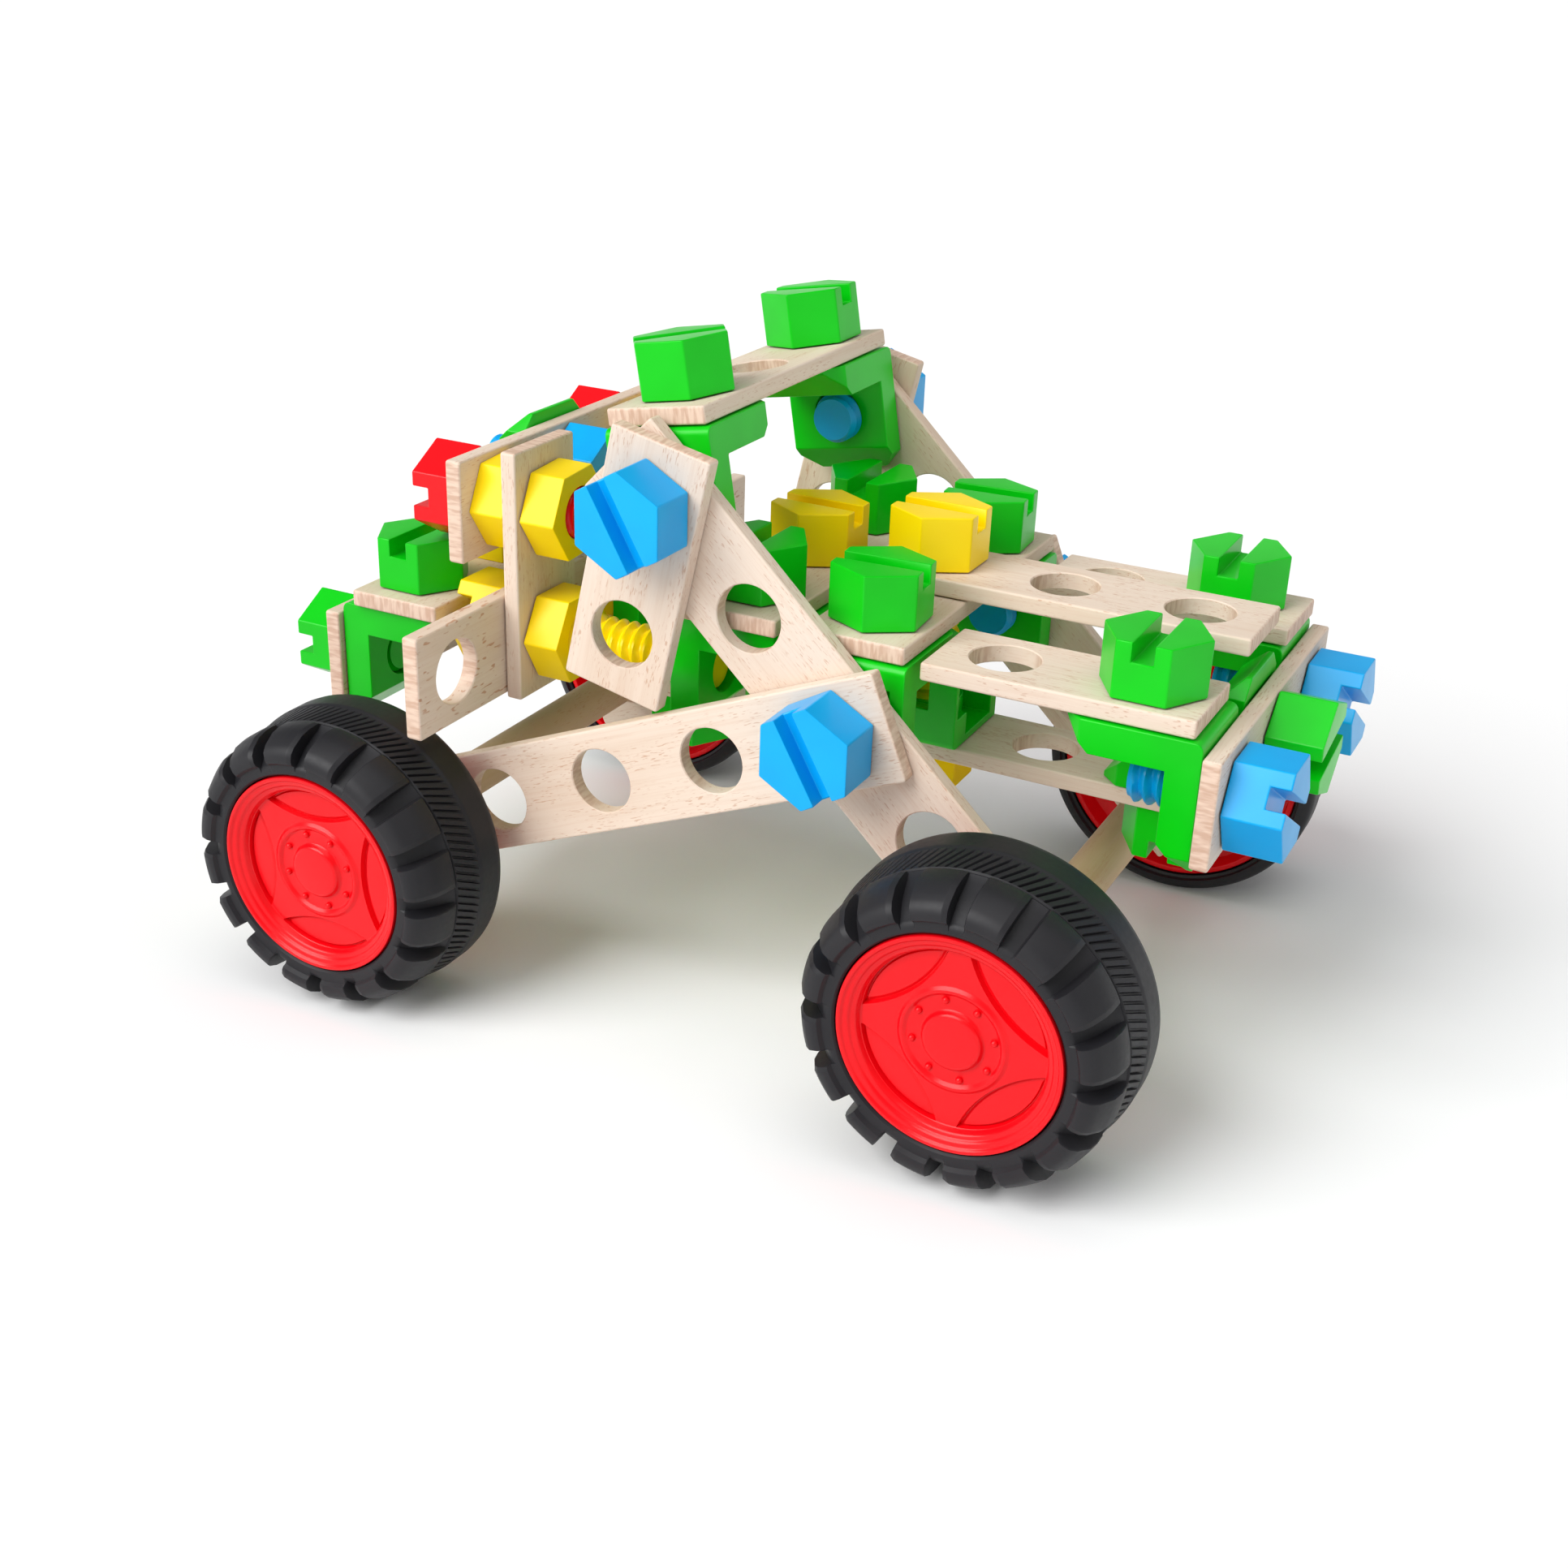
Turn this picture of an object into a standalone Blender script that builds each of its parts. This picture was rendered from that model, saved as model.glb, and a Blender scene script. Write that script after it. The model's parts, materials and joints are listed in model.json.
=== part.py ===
"""Toy buggy built from a wooden construction kit.

Drilled beech strips are clamped together by slotted hex bolts, hex nuts and L brackets. Two wooden
axles carry four rubber tyres on red hubs and turn in the strips' end holes. Everything hangs from
one chassis empty, whose lattice has one unit per hole pitch: X runs towards the tail, Y towards the
right-hand side and Z up, with the origin on top of the rear cross strip. The chassis is pitched
nose down by the different heights of its two axles, and stands on its wheels at Z = 0.
"""
import math

import bmesh
import bpy
from mathutils import Matrix, Vector

# Driving dimensions, in metres. Every other size is a share of the hole pitch.
PITCH = 0.030
GAP = 0.01 * PITCH

# Drilled strips
STRIP_WIDTH = 0.79 * PITCH
STRIP_THICKNESS = 0.13 * PITCH
STRIP_END = 0.47 * PITCH
HOLE_RADIUS = 0.25 * PITCH
HOLE_SIDES = 16

# Bolts and nuts
HEX_CORNER = 0.377 * PITCH
HEAD_HEIGHT = 0.41 * PITCH
NUT_HEIGHT = 0.30 * PITCH
SLOT_WIDTH = 0.15 * PITCH
SLOT_DEPTH = 0.14 * PITCH
SHANK_RADIUS = 0.195 * PITCH
RING_SIDES = 14
SLOT_FLATS = (1, 4)

# Angle brackets
LEG_LENGTH = 0.97 * PITCH
LEG_THICKNESS = 0.24 * PITCH
LEG_WIDTH = 0.84 * PITCH
LEG_HOLE = 0.495 * PITCH
LEG_HOLE_RADIUS = 0.24 * PITCH
HEEL_CHAMFER = 0.05 * PITCH
TIP_CHAMFER = 0.20 * PITCH
TIP_CORNER = 0.13 * PITCH

# Wheels and axles
TYRE_RADIUS = 1.15 * PITCH
TYRE_WIDTH = 0.95 * PITCH
TYRE_BORE = 0.80 * PITCH
TYRE_SIDES = 48
LUG_PERIOD = 3
HUB_RADIUS = 0.79 * PITCH
HUB_FLANGE = 1.00 * PITCH
HUB_SHELF = 0.38 * PITCH
HUB_SIDES = 32
AXLE_RADIUS = 0.175 * PITCH
AXLE_SOCKET = 0.69 * PITCH
AXLE_SIDES = 16
WHEEL_INNER = 2.03

# Places in the chassis lattice, in hole pitches
TOP_BOLT = Vector((-1.437, 0.0, 0.738))
DIAGONAL_SLOPE = math.radians(43.38)
ARM_SLOPE = math.radians(22.54)
SIDE_STRIP_LEAN = math.radians(12.2)
ROOF_BOLT_TURNS = (33.0, 0.0)
ROOF_TILT = math.radians(9.9)
CAB_X = -0.985
WALL_X = 2.50
BEAM_Z = -1.28
BRACKET_FACE = 1.495
DIAGONAL_FACE = 1.515
OUTER_FACE = 1.655
HEAD_FACE = 1.795

SIDES = (("left", -1), ("right", 1))
X = Vector((1, 0, 0))
Y = Vector((0, 1, 0))
Z = Vector((0, 0, 1))

FINISHES = {
    "beech": ((0.72, 0.50, 0.33), 0.62),
    "flecked_beech": ((0.66, 0.44, 0.28), 0.62),
    "green": ((0.07, 0.30, 0.07), 0.38),
    "blue": ((0.03, 0.12, 0.50), 0.35),
    "red": ((0.62, 0.03, 0.03), 0.35),
    "yellow": ((0.85, 0.55, 0.04), 0.38),
    "rubber": ((0.02, 0.02, 0.02), 0.70),
}


# --- small helpers -------------------------------------------------------------------------------

def clear_scene():
    for obj in list(bpy.data.objects):
        bpy.data.objects.remove(obj, do_unlink=True)


def share(*point):
    """A point given in hole pitches, in metres."""
    return Vector(point) * PITCH


def frame(origin, x_axis, z_axis):
    """Placement whose X and Z axes point along the given directions."""
    z_dir = Vector(z_axis).normalized()
    x_dir = Vector(x_axis).normalized()
    rotation = Matrix((x_dir, z_dir.cross(x_dir), z_dir)).transposed()
    return Matrix.Translation(origin) @ rotation.to_4x4()


def add_empty(name, location, parent=None):
    empty = bpy.data.objects.new(name, None)
    empty.empty_display_size = PITCH
    bpy.context.collection.objects.link(empty)
    empty.parent = parent
    empty.location = location
    return empty


def add_finish(obj, kind):
    colour, roughness = FINISHES[kind]
    material = bpy.data.materials.new(f"{obj.name}_{kind}")
    material.use_nodes = True
    shader = material.node_tree.nodes["Principled BSDF"]
    shader.inputs["Base Color"].default_value = (*colour, 1.0)
    shader.inputs["Roughness"].default_value = roughness
    shader.inputs["Metallic"].default_value = 0.0
    obj.data.materials.append(material)


def add_object(name, bm, placement, parent, kind, sharp_angle=30):
    """Turn a closed bmesh into a placed, shaded object with its own material."""
    bmesh.ops.recalc_face_normals(bm, faces=bm.faces)
    mesh = bpy.data.meshes.new(name)
    bm.to_mesh(mesh)
    bm.free()
    mesh.shade_smooth()
    mesh.set_sharp_from_angle(angle=math.radians(sharp_angle))
    obj = bpy.data.objects.new(name, mesh)
    bpy.context.collection.objects.link(obj)
    obj.parent = parent
    obj.matrix_local = placement
    add_finish(obj, kind)
    return obj


# --- loops of vertices and the faces between them --------------------------------------------------

def circle(radius, sides):
    step = 2 * math.pi / sides
    return [Vector((radius * math.cos(i * step), radius * math.sin(i * step))) for i in range(sides)]


def add_loop(bm, points, placement=Matrix()):
    return [bm.verts.new(placement @ point) for point in points]


def add_wall(bm, first, second):
    """Join two loops of the same length with a closed band of quads."""
    for i in range(len(first)):
        bm.faces.new((first[i - 1], first[i], second[i], second[i - 1]))


def add_plane(bm, outline, holes):
    """Fill a flat outline around its holes."""
    edges = []
    for loop in (outline, *holes):
        for i in range(len(loop)):
            edge = bm.edges.get((loop[i - 1], loop[i])) or bm.edges.new((loop[i - 1], loop[i]))
            edges.append(edge)
    bmesh.ops.triangle_fill(bm, edges=edges, use_beauty=True)


# --- drilled strips --------------------------------------------------------------------------------

def add_strip(name, holes, first_hole, along, normal, parent, kind="beech"):
    """A flat strip whose holes start at first_hole, in pitches, on the face away from normal."""
    low, high = -STRIP_END, (holes - 1) * PITCH + STRIP_END
    half = STRIP_WIDTH / 2
    corners = [(low, -half), (high, -half), (high, half), (low, half)]
    bm = bmesh.new()
    faces = []
    for height in (0.0, STRIP_THICKNESS):
        outline = add_loop(bm, [Vector((*corner, height)) for corner in corners])
        rings = []
        for hole in range(holes):
            centre = Vector((hole * PITCH, 0.0, height))
            rings.append(add_loop(bm, [centre + p.to_3d() for p in circle(HOLE_RADIUS, HOLE_SIDES)]))
        faces.append((outline, *rings))
    for lower, upper in zip(*faces):
        add_wall(bm, lower, upper)
    for outline, *rings in faces:
        add_plane(bm, outline, rings)
    add_object(name, bm, frame(share(*first_hole), along, normal), parent, kind)


# --- bolts and nuts --------------------------------------------------------------------------------

def hexagon():
    """Corners and flats of a hex; the two flats along Y are split where the slot crosses them."""
    corners = circle(HEX_CORNER, 6)
    points = []
    for i, corner in enumerate(corners):
        following = corners[(i + 1) % 6]
        along = (following - corner).normalized()
        middle = (corner + following) / 2
        points.append(corner)
        if i in SLOT_FLATS:
            points += [middle - along * SLOT_WIDTH / 2, middle + along * SLOT_WIDTH / 2]
        else:
            points.append(middle)
    return points


def add_ring(bm, points, height, placement):
    return add_loop(bm, [Vector((p.x, p.y, height)) for p in points], placement)


def add_head(bm, base, height, placement):
    """A hex head on its base ring, with a slot from flat to flat along Y."""
    top = add_ring(bm, hexagon(), height + HEAD_HEIGHT, placement)
    right, left = (3, 11), (4, 10)
    floor = {}
    for index in (*right, *left):
        point = hexagon()[index]
        floor[index] = bm.verts.new(placement @ Vector((*point, height + HEAD_HEIGHT - SLOT_DEPTH)))
    for i in range(RING_SIDES):
        j = (i + 1) % RING_SIDES
        if i in floor and j in floor:
            face = (base[i], base[j], floor[j], floor[i])
        elif j in floor:
            face = (base[i], base[j], floor[j], top[j], top[i])
        elif i in floor:
            face = (base[i], base[j], top[j], top[i], floor[i])
        else:
            face = (base[i], base[j], top[j], top[i])
        bm.faces.new(face)
    bm.faces.new([top[i] for i in (11, 12, 13, 0, 1, 2, 3)])
    bm.faces.new([top[i] for i in (4, 5, 6, 7, 8, 9, 10)])
    for near, far in (right, left):
        bm.faces.new((top[near], top[far], floor[far], floor[near]))
    bm.faces.new([floor[i] for i in (3, 4, 10, 11)])


def grow_bolt(bm, ring, placement, sections):
    """Carry a round shank ring along Z through its sections: shank, nut or head lengths in pitches."""
    round_points = circle(SHANK_RADIUS, RING_SIDES)
    height = 0.0
    for kind, length in sections:
        following = height + length * PITCH
        if kind != "shank":
            base = add_ring(bm, hexagon(), height, placement)
            add_wall(bm, ring, base)
            ring = base
        if kind == "head":
            add_head(bm, ring, height, placement)
            return
        if kind == "nut":
            rim = add_ring(bm, hexagon(), following, placement)
            add_wall(bm, ring, rim)
            ring = rim
        top = add_ring(bm, round_points, following, placement)
        add_wall(bm, ring, top)
        ring = top
        height = following
    bm.faces.new(ring)


HEAD = ("head", HEAD_HEIGHT / PITCH)
NUT = ("nut", NUT_HEIGHT / PITCH)


def add_bolt(name, end, axis, sections, parent, kind, turn=0.0):
    """A bolt from its thread end towards its head; turn sets the slot, measured about the axis."""
    bm = bmesh.new()
    tip = add_ring(bm, circle(SHANK_RADIUS, RING_SIDES), 0.0, Matrix())
    bm.faces.new(tip)
    grow_bolt(bm, tip, Matrix(), sections)
    reference = Z if abs(Vector(axis).dot(Z)) < 0.5 else X
    placement = frame(share(*end), reference, axis) @ Matrix.Rotation(math.radians(turn), 4, "Z")
    add_object(name, bm, placement, parent, kind)


# --- angle brackets --------------------------------------------------------------------------------

def leg_faces(flip):
    """Corner points of one leg: outer face, inner face, tip faces. The leg runs along X, or Z if flip."""
    half = LEG_WIDTH / 2
    cut = LEG_LENGTH - TIP_CORNER
    lip = LEG_THICKNESS - TIP_CHAMFER
    neck = LEG_LENGTH - TIP_CHAMFER

    def point(along, across, depth):
        return (depth, across, along) if flip else (along, across, depth)

    return {
        "heel": [point(HEEL_CHAMFER, side * half, 0.0) for side in (-1, 1)],
        "cut_outer": [point(cut, side * half, 0.0) for side in (-1, 1)],
        "tip_outer": [point(LEG_LENGTH, side * (half - TIP_CORNER), 0.0) for side in (-1, 1)],
        "tip_inner": [point(LEG_LENGTH, side * (half - TIP_CORNER), lip) for side in (-1, 1)],
        "cut_inner": [point(cut, side * half, lip + TIP_CORNER) for side in (-1, 1)],
        "neck": [point(neck, side * half, LEG_THICKNESS) for side in (-1, 1)],
    }


def add_leg(bm, corner, flip):
    """The faces of one leg but for its two sides; returns its side vertices and open outlines."""
    rows = {key: add_loop(bm, [Vector(p) for p in pair]) for key, pair in leg_faces(flip).items()}
    (cut_a, cut_b), (tip_a, tip_b) = rows["cut_outer"], rows["tip_outer"]
    (lip_a, lip_b), (low_a, low_b) = rows["tip_inner"], rows["cut_inner"]
    (neck_a, neck_b), (heel_a, heel_b) = rows["neck"], rows["heel"]
    bm.faces.new((tip_a, tip_b, lip_b, lip_a))
    bm.faces.new((cut_a, tip_a, lip_a, low_a))
    bm.faces.new((cut_b, tip_b, lip_b, low_b))
    bm.faces.new((lip_a, lip_b, low_b, neck_b, neck_a, low_a))
    outer = [heel_a, cut_a, tip_a, tip_b, cut_b, heel_b]
    inner = [corner[0], neck_a, neck_b, corner[1]]
    sides = [(heel_a, cut_a, low_a, neck_a), (heel_b, cut_b, low_b, neck_b)]
    return outer, inner, sides


def leg_ring(bm, radius, sides, flip, depth):
    points = []
    for p in circle(radius, sides):
        points.append(Vector((depth, p.x, LEG_HOLE + p.y) if flip else (LEG_HOLE + p.x, p.y, depth)))
    return add_loop(bm, points)


def add_bracket(name, corner, level, upright, parent, outward, inward=(), turn=0.0):
    """An L bracket whose outer corner is at corner, with a bolt fast in its level leg.

    The level leg runs from the corner along level, the other along upright. outward and inward are
    the bolt's sections beyond the level leg's outer and inner faces, in pitches.
    """
    bm = bmesh.new()
    half = LEG_WIDTH / 2
    inside = [bm.verts.new((LEG_THICKNESS, side * half, LEG_THICKNESS)) for side in (-1, 1)]
    level_outer, level_inner, level_sides = add_leg(bm, inside, flip=False)
    up_outer, up_inner, up_sides = add_leg(bm, inside, flip=True)
    bm.faces.new((level_outer[0], level_outer[-1], up_outer[-1], up_outer[0]))
    for level_side, up_side, corner_vert in zip(level_sides, up_sides, inside):
        bm.faces.new((*level_side, corner_vert, *reversed(up_side)))

    hole_outer = leg_ring(bm, LEG_HOLE_RADIUS, HOLE_SIDES, True, 0.0)
    hole_inner = leg_ring(bm, LEG_HOLE_RADIUS, HOLE_SIDES, True, LEG_THICKNESS)
    add_wall(bm, hole_outer, hole_inner)
    add_plane(bm, up_outer, [hole_outer])
    add_plane(bm, up_inner, [hole_inner])

    spin = Matrix.Rotation(math.radians(turn), 4, "Z")
    below = frame((LEG_HOLE, 0.0, 0.0), X, -Z) @ spin
    root = add_ring(bm, circle(SHANK_RADIUS, RING_SIDES), 0.0, below)
    add_plane(bm, level_outer, [root])
    grow_bolt(bm, root, below, outward)
    rings = []
    if inward:
        above = frame((LEG_HOLE, 0.0, LEG_THICKNESS), X, Z) @ spin
        root = add_ring(bm, circle(SHANK_RADIUS, RING_SIDES), 0.0, above)
        grow_bolt(bm, root, above, inward)
        rings = [root]
    add_plane(bm, level_inner, rings)
    add_object(name, bm, frame(share(*corner), level, upright), parent, "green")


# --- wheels ----------------------------------------------------------------------------------------

def add_lathe(bm, sections):
    """Join closed sections of (radius, height) points, spaced evenly around Z, into one solid."""
    step = 2 * math.pi / len(sections)
    columns = []
    for i, section in enumerate(sections):
        column = []
        for radius, height in section:
            column.append(Vector((radius * math.cos(i * step), radius * math.sin(i * step), height)))
        columns.append(add_loop(bm, column))
    for i in range(len(columns)):
        add_wall(bm, columns[i - 1], columns[i])


def tyre_section(groove):
    """Closed section from the inboard bore out to the face; groove is 1 between two lugs."""
    drop = groove * 0.07 * PITCH
    tread = TYRE_RADIUS - drop
    lug_start = 0.58 * PITCH
    return [
        (TYRE_BORE, HUB_SHELF),
        (HUB_FLANGE + GAP, HUB_SHELF),
        (HUB_FLANGE + GAP, 0.0),
        (0.95 * TYRE_RADIUS, 0.0),
        (TYRE_RADIUS, 0.08 * PITCH),
        (TYRE_RADIUS, lug_start - 0.06 * PITCH),
        (tread, lug_start),
        (tread - 0.01 * PITCH, TYRE_WIDTH - 0.13 * PITCH),
        (0.90 * TYRE_RADIUS - 0.5 * drop, TYRE_WIDTH - 0.03 * PITCH - 0.5 * drop),
        (0.83 * TYRE_RADIUS, TYRE_WIDTH - 0.03 * PITCH),
        (0.76 * TYRE_RADIUS, TYRE_WIDTH),
        (TYRE_BORE, TYRE_WIDTH),
    ]


def hub_section():
    """Closed section of the hub, from the outboard cap round the rim to the axle socket."""
    socket = AXLE_RADIUS + GAP
    return [
        (0.0, 0.85 * PITCH),
        (0.19 * PITCH, 0.85 * PITCH),
        (0.22 * PITCH, 0.80 * PITCH),
        (0.32 * PITCH, 0.80 * PITCH),
        (0.36 * PITCH, 0.825 * PITCH),
        (0.39 * PITCH, 0.80 * PITCH),
        (0.65 * PITCH, 0.80 * PITCH),
        (0.68 * PITCH, 0.85 * PITCH),
        (0.74 * PITCH, 0.89 * PITCH),
        (HUB_RADIUS, 0.90 * PITCH),
        (HUB_RADIUS, HUB_SHELF - 2 * GAP),
        (HUB_FLANGE, HUB_SHELF - 2 * GAP),
        (HUB_FLANGE, 0.05 * PITCH),
        (0.95 * HUB_FLANGE, 0.05 * PITCH),
        (0.93 * HUB_FLANGE, 0.22 * PITCH),
        (0.70 * PITCH, 0.26 * PITCH),
        (0.66 * PITCH, 0.50 * PITCH),
        (0.30 * PITCH, 0.50 * PITCH),
        (0.28 * PITCH, 0.0),
        (socket, 0.0),
        (socket, AXLE_SOCKET + GAP),
        (0.0, AXLE_SOCKET + GAP),
    ]


def add_wheel(end, side_name, side, axle):
    """A tyre and its hub, both placed on the axle with Z pointing outboard."""
    placement = frame(share(0.0, side * WHEEL_INNER, 0.0), X, side * Y)
    bm = bmesh.new()
    sections = [tyre_section(1 if i % LUG_PERIOD == 0 else 0) for i in range(TYRE_SIDES)]
    add_lathe(bm, sections)
    add_object(f"{end}_tyre_{side_name}", bm, placement, axle, "rubber", sharp_angle=40)
    bm = bmesh.new()
    add_lathe(bm, [hub_section()] * HUB_SIDES)
    bmesh.ops.remove_doubles(bm, verts=bm.verts, dist=0.01 * GAP)
    add_object(f"{end}_hub_{side_name}", bm, placement, axle, "red", sharp_angle=40)


def add_axle(end, chassis, place):
    """An axle rod with its two wheels, under an empty on the turning axis."""
    axle = add_empty(f"{end}_axle_joint", place, chassis)
    half = share(WHEEL_INNER, 0.0, 0.0).x + AXLE_SOCKET
    bm = bmesh.new()
    points = circle(AXLE_RADIUS, AXLE_SIDES)
    first = add_ring(bm, points, -half, Matrix())
    second = add_ring(bm, points, half, Matrix())
    bm.faces.new(first)
    bm.faces.new(second)
    add_wall(bm, first, second)
    add_object(f"{end}_axle", bm, frame(Vector(), X, Y), axle, "beech")
    for side_name, side in SIDES:
        add_wheel(end, side_name, side, axle)


# --- the chassis -----------------------------------------------------------------------------------

def slope(angle, forward):
    """A downward direction in the XZ plane, towards the nose if forward is -1 and the tail if 1."""
    return Vector((forward * math.cos(angle), 0.0, -math.sin(angle)))


def side_face(side, face):
    """Y of a side strip's lower face, for a strip whose near face is this far from the middle."""
    thickness = STRIP_THICKNESS / PITCH
    return face if side > 0 else -(face + thickness)


def add_deck(chassis):
    add_strip("cross_strip_rear", 3, (0.0, -1.0, -0.13), Y, Z, chassis)
    add_strip("cross_strip_front", 3, (CAB_X, -1.0, -0.13), Y, Z, chassis)
    add_strip("deck_plank_middle", 3, (0.0, 0.0, 0.01), X, Z, chassis)
    add_strip("deck_plank_left", 2, (0.95, -1.0, -0.235), X, Z, chassis)
    add_strip("deck_plank_right", 2, (1.035, 1.0, -0.235), X, Z, chassis)
    add_strip("rear_wall_strip", 3, (WALL_X, -1.0, -0.72), Y, X, chassis)
    add_strip("under_beam", 5, (-2.03, 0.0, BEAM_Z), X, Z, chassis)

    through_strip = [("shank", 0.15), HEAD]
    wall_bracket_x = WALL_X - 0.01
    beam_top = BEAM_Z + 0.14
    for name, side in SIDES:
        add_bracket(f"shoulder_bracket_{name}", (0.0, side * BRACKET_FACE, -0.14), -side * Y, -Z,
                    chassis, through_strip, turn=4)
        add_bracket(f"cab_bracket_{name}", (CAB_X - 0.495, side * 0.965, -0.14), X, -Z,
                    chassis, through_strip)
        add_bracket(f"rear_bracket_{name}", (wall_bracket_x, side, -0.245), -X, -Z,
                    chassis, through_strip)
        add_bolt(f"wall_bolt_{name}", (1.94, side, -0.73), X, [("shank", 0.70), HEAD],
                 chassis, "blue", turn=-30)
    add_bracket("rear_bracket_middle", (wall_bracket_x, 0.0, beam_top), -X, Z, chassis, through_strip)
    add_bolt("wall_bolt_middle", (wall_bracket_x - 0.24, 0.0, -0.68), X, [("shank", 0.39), HEAD],
             chassis, "green", turn=10)
    add_bracket("spacer_bracket_rear", (0.0, -0.495, beam_top), Y, Z, chassis,
                [("shank", 0.15), NUT, ("shank", 0.04)], [("shank", 1.05), HEAD])
    add_bracket("spacer_bracket_front", (CAB_X, 0.495, beam_top), -Y, Z, chassis,
                [("shank", 0.15), NUT, ("shank", 0.17)], [("shank", 0.91), HEAD])
    add_bracket("nose_bracket", (-2.57, 0.0, beam_top), X, Z, chassis, through_strip)


def add_side_frames(chassis):
    """Diagonals, axle arms and short side strips, bolted to the deck and the roof on both sides."""
    diagonal = slope(DIAGONAL_SLOPE, 1)
    mid_bolt = TOP_BOLT + 2 * diagonal
    arm = slope(ARM_SLOPE, -1)
    lean = Vector((-math.sin(SIDE_STRIP_LEAN), 0.0, -math.cos(SIDE_STRIP_LEAN)))
    for name, side in SIDES:
        inner = Y * side_face(side, DIAGONAL_FACE)
        outer = Y * side_face(side, OUTER_FACE)
        add_strip(f"diagonal_{name}", 5, TOP_BOLT + inner, diagonal, Y, chassis)
        add_strip(f"lower_arm_{name}", 5, mid_bolt + outer, arm, Y, chassis)
        add_strip(f"side_strip_{name}", 2, TOP_BOLT + outer + 0.03 * Z, lean, Y, chassis)
        for bolt, place in (("top", TOP_BOLT), ("mid", mid_bolt)):
            end = place + side * (HEAD_FACE - 0.70) * Y
            add_bolt(f"{bolt}_bolt_{name}", end, side * Y, [("shank", 0.70), HEAD], chassis, "blue",
                     turn=-side * 90)
    return mid_bolt + 4 * arm, TOP_BOLT + 4 * diagonal


def add_roof(chassis):
    along = Vector((math.cos(ROOF_TILT), 0.0, math.sin(ROOF_TILT)))
    normal = Vector((-math.sin(ROOF_TILT), 0.0, math.cos(ROOF_TILT)))
    top = TOP_BOLT - 0.03 * along + 0.505 * normal
    add_strip("roof_strip", 3, top - Y + 0.01 * normal, Y, normal, chassis)
    for (name, side), turn in zip(SIDES, ROOF_BOLT_TURNS):
        add_bracket(f"roof_bracket_{name}", top + side * BRACKET_FACE * Y, -side * Y, -normal,
                    chassis, [("shank", 0.15), HEAD], turn=turn)


def add_cab_front(chassis):
    """Two uprights held between the crossbars by the red and the long yellow bolts."""
    add_strip("upper_crossbar", 3, (-3.365, -1.0, 0.317), Y, X, chassis)
    add_strip("lower_crossbar", 5, (-3.065, -2.0, -0.69), Y, X, chassis, "flecked_beech")
    head_end = [("shank", 0.15), ("nut", 0.29), ("shank", 0.15), HEAD]
    for name, side in SIDES:
        add_strip(f"upright_{name}", 2, (-2.925, side, 0.356), -Z, X, chassis)
        add_bolt(f"headlight_bolt_{name}", (-2.45, side, 0.337), -X,
                 [("shank", 0.035), NUT, *head_end], chassis, "red")
        add_bolt(f"tie_bolt_{name}", (-1.30, 0.985 * side, -0.65), -X,
                 [("shank", 1.185), NUT, ("shank", 0.29), HEAD], chassis, "yellow", turn=30)
    add_bolt("grille_bolt", (-3.925, 0.0, 0.32), X, [("shank", 0.70), HEAD], chassis, "blue")
    add_bolt("nose_bolt", (-2.175, 0.0, -0.668), -X,
             [("shank", 0.425), NUT, ("shank", 0.175), HEAD], chassis, "red")


def add_hood(chassis):
    add_strip("hood_strip", 3, (-3.915, -1.0, -0.61), Y, Z, chassis)
    add_strip("bumper_strip", 3, (-4.595, -1.0, -1.10), Y, X, chassis)
    add_bracket("hood_bracket_middle", (-3.375, 0.0, -0.17), -X, Z, chassis,
                [("shank", 0.01), ("nut", 0.29), ("shank", 0.15), HEAD])
    for name, side in SIDES:
        add_bracket(f"hood_bracket_{name}", (-4.455, side, -0.62), X, -Z, chassis,
                    [("shank", 0.15), HEAD])
        add_bolt(f"bumper_bolt_{name}", (-4.215, side, -1.107), -X, [("shank", 0.39), HEAD],
                 chassis, "green")


def stand_on_wheels(chassis, front, rear):
    """Pitch the chassis until both axles are level, then put its box's bottom centre at the origin."""
    chassis.rotation_euler = (0.0, math.atan2(rear.z - front.z, rear.x - front.x), 0.0)
    bpy.context.view_layer.update()
    points = []
    for obj in bpy.data.objects:
        if obj.type == "MESH":
            points += [obj.matrix_world @ vert.co for vert in obj.data.vertices]
    low_x, high_x = min(p.x for p in points), max(p.x for p in points)
    chassis.location = (-(low_x + high_x) / 2, 0.0, -min(p.z for p in points))


def build():
    clear_scene()
    chassis = add_empty("chassis", (0.0, 0.0, 0.0))
    add_deck(chassis)
    front, rear = add_side_frames(chassis)
    add_roof(chassis)
    add_cab_front(chassis)
    add_hood(chassis)
    add_axle("front", chassis, front * PITCH)
    add_axle("rear", chassis, rear * PITCH)
    stand_on_wheels(chassis, front, rear)


build()
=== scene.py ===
"""The looks of a toy buggy built from a wooden construction kit.

Each CAD node is replaced by a finer piece in the same place: beech strips with rounded edges,
moulded brackets with pockets, threaded bolts and nuts, ribbed tyres and spoked hubs. Places are in
the chassis lattice, one unit per hole pitch: X towards the tail, Y to the right-hand side, Z up,
from the top of the rear cross strip.
"""

import json
import math

import bmesh
import bpy
from mathutils import Matrix, Vector


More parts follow.
